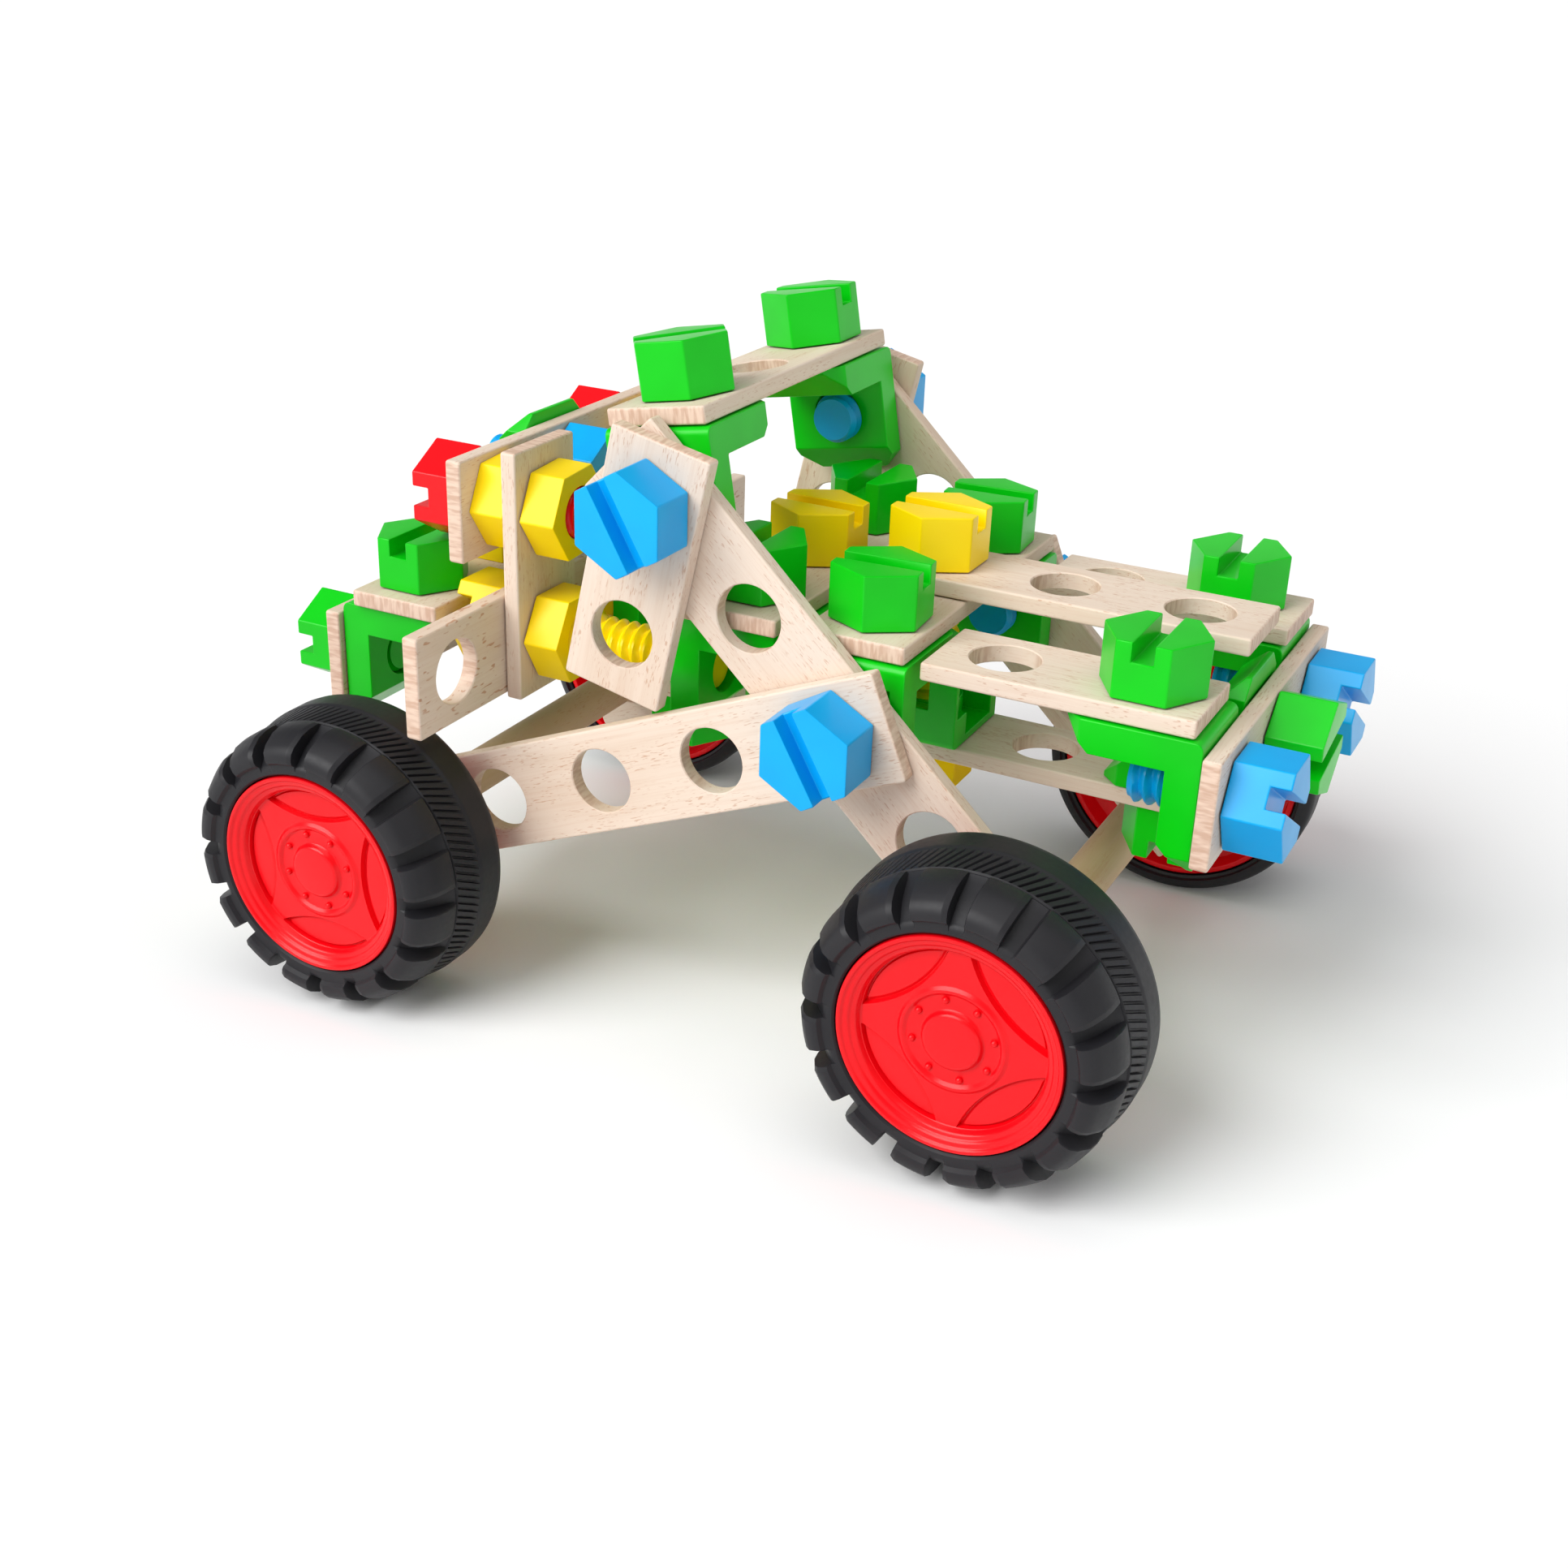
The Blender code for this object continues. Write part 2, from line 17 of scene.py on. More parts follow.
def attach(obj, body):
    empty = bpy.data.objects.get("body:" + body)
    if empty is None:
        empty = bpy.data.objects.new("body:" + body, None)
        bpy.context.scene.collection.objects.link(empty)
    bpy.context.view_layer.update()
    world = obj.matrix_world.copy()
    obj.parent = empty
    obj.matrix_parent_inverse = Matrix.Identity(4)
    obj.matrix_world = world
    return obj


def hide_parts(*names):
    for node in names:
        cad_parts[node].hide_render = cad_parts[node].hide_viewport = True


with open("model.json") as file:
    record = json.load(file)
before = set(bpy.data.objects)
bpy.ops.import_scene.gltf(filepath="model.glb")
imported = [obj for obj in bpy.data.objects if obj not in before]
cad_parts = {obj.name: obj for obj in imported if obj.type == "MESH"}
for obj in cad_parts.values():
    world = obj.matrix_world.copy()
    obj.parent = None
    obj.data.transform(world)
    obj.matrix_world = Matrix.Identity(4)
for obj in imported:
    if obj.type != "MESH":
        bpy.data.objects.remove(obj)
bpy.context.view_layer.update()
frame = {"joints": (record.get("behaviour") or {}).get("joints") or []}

# Driving dimensions, in metres. The pitch, strips, hexes, legs and wheels are as in the CAD model.
PITCH = 0.030

# Strips
STRIP_WIDTH = 0.79 * PITCH
STRIP_THICKNESS = 0.13 * PITCH
STRIP_END = 0.47 * PITCH
HOLE_RADIUS = 0.25 * PITCH
STRIP_ROUNDING = 0.018 * PITCH
HOLE_CHAMFER = 0.008 * PITCH
HOLE_SIDES = 56

# Bolts and nuts. The nuts on the red bolts are turned, by degrees.
HEX_CORNER = 0.377 * PITCH
HEAD_HEIGHT = 0.41 * PITCH
NUT_HEIGHT = 0.30 * PITCH
NUT_TURN = 26.0
SLOT_WIDTH = 0.15 * PITCH
SLOT_DEPTH = 0.14 * PITCH
HEX_BEVEL = 0.012 * PITCH
THREAD_RADIUS = 0.177 * PITCH
THREAD_DEPTH = 0.021 * PITCH
THREAD_PITCH = 0.095 * PITCH
THREAD_SIDES = 40
THREAD_STEPS = 6

# Angle brackets
LEG_LENGTH = 0.97 * PITCH
LEG_THICKNESS = 0.24 * PITCH
LEG_WIDTH = 0.84 * PITCH
LEG_HOLE = 0.495 * PITCH
LEG_THREAD_RADIUS = 0.20 * PITCH
LEG_SKIN = 0.06 * PITCH
LEG_END_SKIN = 0.05 * PITCH
LEG_BOSS = 0.26 * PITCH
LEG_WINDOW = 0.40 * PITCH
LEG_RECESS = 0.62 * PITCH
LEG_RECESS_DEPTH = 0.04 * PITCH
HEEL_RADIUS = 0.06 * PITCH
TIP_CHAMFER = 0.20 * PITCH
TIP_CORNER = 0.13 * PITCH
BRACKET_BEVEL = 0.009 * PITCH

# Tyres. A rib leans by RIB_LEAN rib widths for each pitch of height above or below RIB_MIDDLE, which
# is in pitches. A station is a place along a rib's width and the share of the groove's depth there.
LUGS = 16
RIBS_PER_LUG = 7
RIB_DEPTH = 0.022 * PITCH
RIB_LEAN = 8
RIB_MIDDLE = 0.45
RIB_STATIONS = ((0.0, 0.0), (0.58, 0.0), (0.70, 1.0), (0.90, 1.0))

# Hubs and axles. The sunk fields between the spokes are lenses of two arcs.
HUB_SIDES = 96
HUB_DISC = 0.800 * PITCH
SPOKES = 4
SPOKE_TURNS = {"front": 48, "rear": 0}
FIELD_CENTRE = 1.318 * PITCH
FIELD_RADIUS = 0.908 * PITCH
FIELD_REACH = 0.648 * PITCH
FIELD_STEPS = 24
FIELD_DEPTH = 0.018 * PITCH
FIELD_GROOVE = 0.040 * PITCH
RIVETS = 8
RIVET_RADIUS = 0.026 * PITCH
RIVET_CIRCLE = 0.290 * PITCH
RIVET_HEIGHT = 0.803 * PITCH
AXLE_RADIUS = 0.175 * PITCH
AXLE_SOCKET = 0.69 * PITCH
AXLE_SIDES = 48

# Places in the chassis lattice, in hole pitches, as in the CAD model
TOP_BOLT = Vector((-1.437, 0.0, 0.738))
DIAGONAL_SLOPE = math.radians(43.38)
ARM_SLOPE = math.radians(22.54)
SIDE_STRIP_LEAN = math.radians(12.2)
ROOF_TILT = math.radians(9.9)
CAB_X = -0.985
WALL_X = 2.50
BEAM_Z = -1.28
BRACKET_FACE = 1.495
DIAGONAL_FACE = 1.515
OUTER_FACE = 1.655
HEAD_FACE = 1.795
WHEEL_INNER = 2.03
TOUCH = 0.01
STRIP = STRIP_THICKNESS / PITCH
LEG = LEG_THICKNESS / PITCH
GRIP = STRIP + 2 * TOUCH

SIDES = (("left", -1), ("right", 1))
X = Vector((1, 0, 0))
Y = Vector((0, 1, 0))
Z = Vector((0, 0, 1))

# Bolt sections of a fixed length, in hole pitches
MEDIUM_SHANK = 0.70
HEAD = ("head", HEAD_HEIGHT / PITCH)
NUT = ("nut", NUT_HEIGHT / PITCH)

# Colours, from 0 to 255: the main one and the one it drifts to
BEECH = ((227, 209, 192), (216, 194, 174))
AXLE_BEECH = ((206, 176, 140), (180, 146, 108))
GRAIN = (208, 176, 152)
FLECK = (190, 142, 112)
END_GRAIN = ((226, 200, 180), (204, 170, 148))
RUBBER = ((26, 26, 30), (34, 33, 36))

# Strength of the surroundings, from low on the horizon to overhead
HORIZON = {"From Min": 0.12, "From Max": 0.30, "To Min": 0.95, "To Max": 0.24}

# Floor and camera, in metres and degrees; the view is the azimuth and elevation that it looks from
FLOOR_HALF = 9.0
FLOOR_DEPTH = 0.02
CAMERA_PLACE = (0.19099, -0.38730, 0.23549)
CAMERA_VIEW = (27.17, 24.47)
CAMERA_ROLL = 0.28
CAMERA_LENS = 45.06


# --- placement -------------------------------------------------------------------------------------

def slope(angle, forward):
    """A downward direction in the XZ plane, towards the nose if forward is -1 and the tail if 1."""
    return Vector((forward * math.cos(angle), 0.0, -math.sin(angle)))


MID_BOLT = TOP_BOLT + 2 * slope(DIAGONAL_SLOPE, 1)
FRONT_AXLE = MID_BOLT + 4 * slope(ARM_SLOPE, -1)
REAR_AXLE = TOP_BOLT + 4 * slope(DIAGONAL_SLOPE, 1)


def joint_place(name):
    return next(Vector(joint["pos_m"]) for joint in frame["joints"] if joint["name"] == name)


def chassis_frame():
    """The lattice's placement in the world, from the two axles' places in both."""
    front, rear = joint_place("front_axle_spin"), joint_place("rear_axle_spin")
    lattice = REAR_AXLE - FRONT_AXLE
    world = rear - front
    pitch = math.atan2(lattice.z, lattice.x) - math.atan2(world.z, world.x)
    turn = Matrix.Rotation(pitch, 4, "Y")
    return Matrix.Translation(front - turn @ (FRONT_AXLE * PITCH)) @ turn


CHASSIS = chassis_frame()


def share(*point):
    """A point given in hole pitches, in metres."""
    return Vector(point) * PITCH


def place(origin, x_axis, z_axis):
    """World placement of a piece from its lattice origin and its own X and Z directions."""
    z_dir = Vector(z_axis).normalized()
    x_dir = Vector(x_axis).normalized()
    rotation = Matrix((x_dir, z_dir.cross(x_dir), z_dir)).transposed()
    return CHASSIS @ Matrix.Translation(Vector(origin) * PITCH) @ rotation.to_4x4()


def add_piece(name, mesh, placement, material, body, slot, *nodes):
    """Wood keeps its own axes for the grain; the rest is laid down in the world's."""
    piece = bpy.data.objects.new(name, mesh.copy())
    bpy.context.collection.objects.link(piece)
    if slot.endswith("beech"):
        piece.matrix_world = placement
    else:
        piece.data.transform(placement)
    piece.data.materials.clear()
    piece.data.materials.append(material)
    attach(piece, body)
    if nodes:
        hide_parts(*nodes)


# --- mesh tools ------------------------------------------------------------------------------------

def circle(radius, sides, centre=(0.0, 0.0)):
    step = 2 * math.pi / sides
    points = []
    for i in range(sides):
        points.append((centre[0] + radius * math.cos(i * step), centre[1] + radius * math.sin(i * step)))
    return points


def rectangle(low_x, high_x, low_y, high_y):
    return [(low_x, low_y), (high_x, low_y), (high_x, high_y), (low_x, high_y)]


def add_loop(bm, points, height=0.0, placement=Matrix()):
    return [bm.verts.new(placement @ Vector((p[0], p[1], height))) for p in points]


def add_wall(bm, first, second):
    for i in range(len(first)):
        bm.faces.new((first[i - 1], first[i], second[i], second[i - 1]))


def add_plane(bm, loops):
    """Fill a flat outline, the first loop, around its holes."""
    edges = []
    for loop in loops:
        for i in range(len(loop)):
            pair = (loop[i - 1], loop[i])
            edges.append(bm.edges.get(pair) or bm.edges.new(pair))
    bmesh.ops.triangle_fill(bm, edges=edges, use_beauty=True)


def prism(points, low, high, placement=Matrix()):
    """A closed solid: an outline carried from one height to another."""
    bm = bmesh.new()
    first = add_loop(bm, points, low, placement)
    second = add_loop(bm, points, high, placement)
    bm.faces.new(first)
    bm.faces.new(second)
    add_wall(bm, first, second)
    return bm


def as_object(bm):
    bmesh.ops.recalc_face_normals(bm, faces=bm.faces)
    mesh = bpy.data.meshes.new("work")
    bm.to_mesh(mesh)
    bm.free()
    obj = bpy.data.objects.new("work", mesh)
    bpy.context.collection.objects.link(obj)
    return obj


def bmesh_of(mesh):
    bm = bmesh.new()
    bm.from_mesh(mesh)
    return bm


def finish_mesh(bm, cutters=(), joined=(), bevel=0.0, sharp=40):
    """Cut and join solids, round the edges, and shade flats flat; returns a plain mesh."""
    base = as_object(bm)
    tools = []
    for operation, solids in (("DIFFERENCE", cutters), ("UNION", joined)):
        for solid in solids:
            tool = as_object(solid)
            tools.append(tool)
            boolean = base.modifiers.new("shape", "BOOLEAN")
            boolean.operation = operation
            boolean.object = tool
            boolean.solver = "EXACT"
    if bevel:
        rounding = base.modifiers.new("edges", "BEVEL")
        rounding.width = bevel
        rounding.segments = 2
        rounding.limit_method = "ANGLE"
        rounding.angle_limit = math.radians(25)
        rounding.use_clamp_overlap = False
    shaped = bpy.data.meshes.new_from_object(evaluated(base))
    shaped.shade_smooth()
    shaped.set_sharp_from_angle(angle=math.radians(sharp))
    base.modifiers.clear()
    base.data = shaped
    base.modifiers.new("shading", "WEIGHTED_NORMAL").keep_sharp = True
    mesh = bpy.data.meshes.new_from_object(evaluated(base))
    for obj in (base, *tools):
        bpy.data.objects.remove(obj)
    return mesh


def evaluated(obj):
    return obj.evaluated_get(bpy.context.evaluated_depsgraph_get())


# --- wood strips -----------------------------------------------------------------------------------

def rounded_outline(low, high, half, inset, corner, steps=3):
    """A rectangle with small round corners, pulled in by inset."""
    radius = corner - inset
    points = []
    for index, (cx, cy) in enumerate(((high, half), (low, half), (low, -half), (high, -half))):
        centre_x = cx - math.copysign(corner, cx - (low + high) / 2)
        centre_y = cy - math.copysign(corner, cy)
        for step in range(steps + 1):
            angle = math.pi / 2 * (index + step / steps)
            points.append((centre_x + radius * math.cos(angle), centre_y + radius * math.sin(angle)))
    return points


def edge_levels():
    """Inset and height of each outline on the way up a rounded side."""
    steps = 3
    quarter = [math.pi / 2 * i / steps for i in range(steps + 1)]
    low = [(STRIP_ROUNDING * (1 - math.sin(a)), STRIP_ROUNDING * (1 - math.cos(a))) for a in quarter]
    return low + [(inset, STRIP_THICKNESS - height) for inset, height in reversed(low)]


def strip_mesh(holes):
    low, high, half = -STRIP_END, (holes - 1) * PITCH + STRIP_END, STRIP_WIDTH / 2
    bm = bmesh.new()
    corner = 1.3 * STRIP_ROUNDING
    sides = [add_loop(bm, rounded_outline(low, high, half, inset, corner), height)
             for inset, height in edge_levels()]
    bore_levels = ((HOLE_CHAMFER, 0.0), (0.0, HOLE_CHAMFER),
                   (0.0, STRIP_THICKNESS - HOLE_CHAMFER), (HOLE_CHAMFER, STRIP_THICKNESS))
    bores = []
    for hole in range(holes):
        centre = (hole * PITCH, 0.0)
        bores.append([add_loop(bm, circle(HOLE_RADIUS + wider, HOLE_SIDES, centre), height)
                      for wider, height in bore_levels])
    for column in (sides, *bores):
        for first, second in zip(column, column[1:]):
            add_wall(bm, first, second)
    for end in (0, -1):
        add_plane(bm, [sides[end], *(bore[end] for bore in bores)])
    return finish_mesh(bm)


# --- bolts and nuts --------------------------------------------------------------------------------

def head_mesh():
    """A hex head standing on Z = 0, slotted along Y."""
    slot = prism(rectangle(-SLOT_WIDTH / 2, SLOT_WIDTH / 2, -HEX_CORNER, HEX_CORNER),
                 HEAD_HEIGHT - SLOT_DEPTH, 2 * HEAD_HEIGHT)
    return finish_mesh(prism(circle(HEX_CORNER, 6), 0.0, HEAD_HEIGHT), [slot], bevel=HEX_BEVEL)


def nut_mesh():
    bore = prism(circle(LEG_THREAD_RADIUS, THREAD_SIDES), -NUT_HEIGHT, 2 * NUT_HEIGHT)
    return finish_mesh(prism(circle(HEX_CORNER, 6), 0.0, NUT_HEIGHT), [bore], bevel=HEX_BEVEL)


def add_thread(bm, low, high):
    """A rounded right-hand thread along Z, running out smoothly at its lower end."""
    rings = []
    count = max(2, round((high - low) / THREAD_PITCH * THREAD_STEPS))
    for level in range(count + 1):
        height = low + (high - low) * level / count
        fade = min(1.0, (height - low) / (0.5 * THREAD_PITCH))
        points = []
        for i in range(THREAD_SIDES):
            angle = 2 * math.pi * i / THREAD_SIDES
            wave = math.cos(2 * math.pi * height / THREAD_PITCH - angle)
            radius = THREAD_RADIUS + THREAD_DEPTH * (wave * fade - 0.6 * (1 - fade))
            points.append((radius * math.cos(angle), radius * math.sin(angle)))
        rings.append(add_loop(bm, points, height))
    for first, second in zip(rings, rings[1:]):
        add_wall(bm, first, second)
    bm.faces.new(rings[0])
    bm.faces.new(rings[-1])


def add_part(bm, mesh, height):
    copy = mesh.copy()
    copy.transform(Matrix.Translation((0.0, 0.0, height)))
    bm.from_mesh(copy)
    bpy.data.meshes.remove(copy)


def bolt_mesh(sections, head):
    """A bolt from its thread end at Z = 0, its shank running a little way into the head.

    Sections are shank, nut and head lengths in pitches.
    """
    bm = bmesh.new()
    length = sum(size for kind, size in sections if kind != "head") * PITCH
    add_thread(bm, 0.0, length + 0.1 * HEAD_HEIGHT)
    add_part(bm, head, length)
    mesh = bpy.data.meshes.new("bolt")
    bm.to_mesh(mesh)
    bm.free()
    mesh.shade_smooth()
    mesh.set_sharp_from_angle(angle=math.radians(30))
    return mesh


def add_bolt(name, head, nut, placement, sections, colour, *nodes):
    """The bolt and, as pieces of their own, the yellow nuts on it."""
    add_piece(f"{name}_bolt", bolt_mesh(sections, head), placement, PLASTICS[colour], "chassis",
              colour, *nodes)
    height, count = 0.0, 0
    nut_spin = Matrix.Rotation(math.radians(NUT_TURN if colour == "red" else 0.0), 4, "Z")
    for kind, length in sections:
        if kind == "nut":
            count += 1
            raised = placement @ Matrix.Translation((0.0, 0.0, height)) @ nut_spin
            add_piece(f"{name}_nut_{count}", nut, raised, PLASTICS["yellow"], "chassis", "yellow")
        height += length * PITCH


# --- angle brackets --------------------------------------------------------------------------------

def bracket_profile():
    """The L from the side: heel arc, level leg along X, inner corner, other leg along Z."""
    lip = LEG_THICKNESS - TIP_CHAMFER
    neck = LEG_LENGTH - TIP_CHAMFER
    steps = 4
    heel = []
    for i in range(steps + 1):
        angle = math.pi + math.pi / 2 * i / steps
        heel.append((HEEL_RADIUS * (1 + math.cos(angle)), HEEL_RADIUS * (1 + math.sin(angle))))
    level = [(LEG_LENGTH, 0.0), (LEG_LENGTH, lip), (neck, LEG_THICKNESS)]
    return heel + level + [(LEG_THICKNESS, LEG_THICKNESS)] + [(z, x) for x, z in reversed(level)]


def leg_tools(window, open_side):
    """Cutters for one leg along X, outer face at Z = 0: corners, pocket round the boss, and hole."""
    half = LEG_WIDTH / 2
    far = LEG_LENGTH + PITCH
    deep = LEG_THICKNESS + TIP_CHAMFER
    tools = []
    for side in (-1, 1):
        corner = [(LEG_LENGTH - TIP_CORNER, side * half), (LEG_LENGTH, side * (half - TIP_CORNER)),
                  (far, side * (half - TIP_CORNER)), (far, side * (half + TIP_CORNER)),
                  (LEG_LENGTH - TIP_CORNER, side * (half + TIP_CORNER))]
        tools.append((corner, -LEG_SKIN, deep))
    closed = -open_side * (half - LEG_SKIN)
    opened = open_side * (half + LEG_SKIN)
    low_y, high_y = min(closed, opened), max(closed, opened)
    pocket = rectangle(LEG_THICKNESS, LEG_LENGTH - TIP_CHAMFER - LEG_END_SKIN, low_y, high_y)
    size = LEG_WINDOW if window else LEG_RECESS
    reach = deep if window else LEG_RECESS_DEPTH
    square = rectangle(LEG_HOLE - size / 2, LEG_HOLE + size / 2, -size / 2, size / 2)
    tools.append((square, -LEG_SKIN, reach))
    if not window:
        tools.append((circle(LEG_THREAD_RADIUS, THREAD_SIDES, (LEG_HOLE, 0.0)), -LEG_SKIN, deep))
    return tools, pocket


def bracket_mesh(window, open_side):
    """A moulded L bracket; its upright leg has a square window or a threaded hole."""
    across = Matrix(((1, 0, 0, 0), (0, 0, 1, 0), (0, 1, 0, 0), (0, 0, 0, 1)))
    upright = Matrix(((0, 0, 1, 0), (0, 1, 0, 0), (1, 0, 0, 0), (0, 0, 0, 1)))
    body = prism(bracket_profile(), -LEG_WIDTH / 2, LEG_WIDTH / 2, across)
    cutters = []
    hollow_top = LEG_THICKNESS * 2 if window else LEG_THICKNESS - LEG_SKIN
    for leg, leg_window in ((Matrix(), False), (upright, window)):
        tools, pocket = leg_tools(leg_window, open_side)
        ring = circle(LEG_BOSS, THREAD_SIDES, (LEG_HOLE, 0.0))
        hollow = finish_mesh(prism(pocket, LEG_SKIN, hollow_top, leg),
                             [] if leg_window else [prism(ring, 0.0, 2 * hollow_top, leg)])
        cutters.append(bmesh_of(hollow))
        cutters += [prism(outline, low, high, leg) for outline, low, high in tools]
    return finish_mesh(body, cutters, bevel=BRACKET_BEVEL)


# --- wheels ----------------------------------------------------------------------------------------

def lathe(sections):
    """Join closed sections of (radius, height) points around Z; points on the axis become one."""
    bm = bmesh.new()
    step = 2 * math.pi / len(sections)
    columns = []
    for i, section in enumerate(sections):
        x, y = math.cos(i * step), math.sin(i * step)
        columns.append([bm.verts.new((radius * x, radius * y, height)) for radius, height in section])
    for i in range(len(columns)):
        add_wall(bm, columns[i - 1], columns[i])
    bmesh.ops.remove_doubles(bm, verts=bm.verts, dist=1e-7)
    return bm


def lug_height(station):
    """How far the tread stands above the valley, from 0 to 1, at a rib station of one lug period."""
    first, last = len(RIB_STATIONS), (RIBS_PER_LUG - 1) * len(RIB_STATIONS) - 2
    if station in (first, last):
        return 0.88
    return 1.0 if first < station < last else 0.0


def tyre_section(station, groove):
    """Points at a station of one lug period: radius and height in pitches, and turn in rib widths."""
    recess = [(0.80, 0.38), (1.012, 0.38), (1.012, 0.045)]
    shoulder = [(1.034, 0.035), (1.042, 0.0), (1.07, 0.01), (1.12, 0.035), (1.143, 0.075),
                (1.15, 0.12), (1.15, 0.29), (1.148, 0.31), (1.141, 0.325)]
    ribs = [(1.140, 0.33), (1.136, 0.37), (1.115, 0.55), (1.110, 0.565)]
    channel = [(1.096, 0.572), (1.096, 0.582)]
    valley = [(1.088, 0.592), (1.062, 0.63), (1.022, 0.71), (0.980, 0.78), (0.938, 0.83),
              (0.915, 0.855), (0.898, 0.873), (0.888, 0.885), (0.876, 0.900)]
    block = [(1.112, 0.590), (1.118, 0.61), (1.116, 0.70), (1.098, 0.79), (1.040, 0.895),
             (0.995, 0.938), (0.940, 0.950), (0.908, 0.944), (0.886, 0.915)]
    bead = [(0.845, 0.912), (0.815, 0.908), (0.80, 0.890)]

    lug = []
    for low, high in zip(valley, block):
        lug.append([a + (b - a) * lug_height(station) for a, b in zip(low, high)])
    depth = groove * RIB_DEPTH / PITCH
    slanted = []
    for radius, height in ribs:
        inside = (radius, height) not in (ribs[0], ribs[-1])
        slanted.append((radius - (depth if inside else 0.0), height, (height - RIB_MIDDLE) * RIB_LEAN))
    straight = [(*point, 0.0) for point in recess + shoulder]
    return straight + slanted + [(*point, 0.0) for point in channel + lug + bead]


def tyre_mesh():
    bm = bmesh.new()
    rib = 2 * math.pi / (LUGS * RIBS_PER_LUG)
    columns = []
    for index in range(LUGS * RIBS_PER_LUG * len(RIB_STATIONS)):
        phase, groove = RIB_STATIONS[index % len(RIB_STATIONS)]
        turn = index // len(RIB_STATIONS) + phase
        column = []
        for radius, height, slant in tyre_section(index % (RIBS_PER_LUG * len(RIB_STATIONS)), groove):
            angle = rib * (turn + slant)
            spot = share(radius * math.cos(angle), radius * math.sin(angle), height)
            column.append(bm.verts.new(spot))
        columns.append(column)
    for i in range(len(columns)):
        add_wall(bm, columns[i - 1], columns[i])
    return finish_mesh(bm, sharp=38)


def hub_section():
    """Section from the outboard middle over the stepped rim and round the back to the socket."""
    socket, socket_end = AXLE_RADIUS / PITCH + TOUCH, AXLE_SOCKET / PITCH + TOUCH
    cap = [(0.0, 0.850), (0.175, 0.848), (0.195, 0.842), (0.207, 0.830), (0.215, 0.806), (0.230, 0.798)]
    ring = [(0.318, 0.798), (0.330, 0.804), (0.343, 0.820), (0.357, 0.826), (0.371, 0.820),
            (0.385, 0.804), (0.400, 0.800)]
    steps = [(0.640, 0.800), (0.655, 0.812), (0.665, 0.842), (0.678, 0.855), (0.695, 0.857),
             (0.706, 0.866), (0.712, 0.878), (0.728, 0.884), (0.742, 0.885), (0.752, 0.893)]
    rim = [(0.758, 0.904), (0.770, 0.908), (0.784, 0.904), (0.790, 0.890), (0.790, 0.36)]
    flange = [(1.00, 0.36), (1.00, 0.06), (0.99, 0.05), (0.96, 0.05), (0.95, 0.06), (0.93, 0.22)]
    back = [(0.70, 0.26), (0.66, 0.50), (0.30, 0.50), (0.28, 0.01), (0.27, 0.0)]
    bore = [(socket, 0.0), (socket, socket_end), (0.0, socket_end)]
    points = cap + ring + steps + rim + flange + back + bore
    return [(radius * PITCH, height * PITCH) for radius, height in points]


def field_outline(direction, inset):
    """The lens between two spokes: an arc bulging inwards from the rim, closed along the rim."""
    radius, reach = FIELD_RADIUS - inset, FIELD_REACH - 0.5 * inset
    half = math.acos((FIELD_CENTRE ** 2 + reach ** 2 - radius ** 2) / (2 * FIELD_CENTRE * reach))
    start = math.atan2(reach * math.sin(half), reach * math.cos(half) - FIELD_CENTRE)
    points = []
    for i in range(FIELD_STEPS + 1):
        angle = start + 2 * (math.pi - start) * i / FIELD_STEPS
        points.append((FIELD_CENTRE + radius * math.cos(angle), radius * math.sin(angle)))
    for i in range(1, FIELD_STEPS):
        angle = half * (2 * i / FIELD_STEPS - 1)
        points.append((reach * math.cos(angle), reach * math.sin(angle)))
    turn = Matrix.Rotation(direction, 2)
    return [turn @ Vector(point) for point in points]


def field_cutter(direction):
    """Cuts the sunk field, with a deeper groove along its edge."""
    bm = bmesh.new()
    inset = 0.5 * FIELD_GROOVE
    levels = ((2.2 * inset, HUB_DISC - FIELD_DEPTH), (1.2 * inset, HUB_DISC - FIELD_GROOVE),
              (0.6 * inset, HUB_DISC - FIELD_GROOVE), (0.0, HUB_DISC), (0.0, HUB_DISC + FIELD_GROOVE))
    loops = [add_loop(bm, field_outline(direction, inset), height) for inset, height in levels]
    bm.faces.new(loops[0])
    bm.faces.new(loops[-1])
    for first, second in zip(loops, loops[1:]):
        add_wall(bm, first, second)
    return bm


def hub_mesh():
    fields = [field_cutter(2 * math.pi * (i + 0.5) / SPOKES) for i in range(SPOKES)]
    rivets = []
    for i in range(RIVETS):
        angle = 2 * math.pi * (i + 0.3) / RIVETS
        centre = Vector((RIVET_CIRCLE * math.cos(angle), RIVET_CIRCLE * math.sin(angle), RIVET_HEIGHT))
        rivet = bmesh.new()
        bmesh.ops.create_uvsphere(rivet, u_segments=16, v_segments=8, radius=RIVET_RADIUS,
                                  matrix=Matrix.Translation(centre))
        rivets.append(rivet)
    return finish_mesh(lathe([hub_section()] * HUB_SIDES), fields, rivets, sharp=50)


def axle_mesh():
    half = WHEEL_INNER * PITCH + AXLE_SOCKET
    return finish_mesh(prism(circle(AXLE_RADIUS, AXLE_SIDES), -half, half), bevel=0.01 * PITCH)


# --- materials -------------------------------------------------------------------------------------

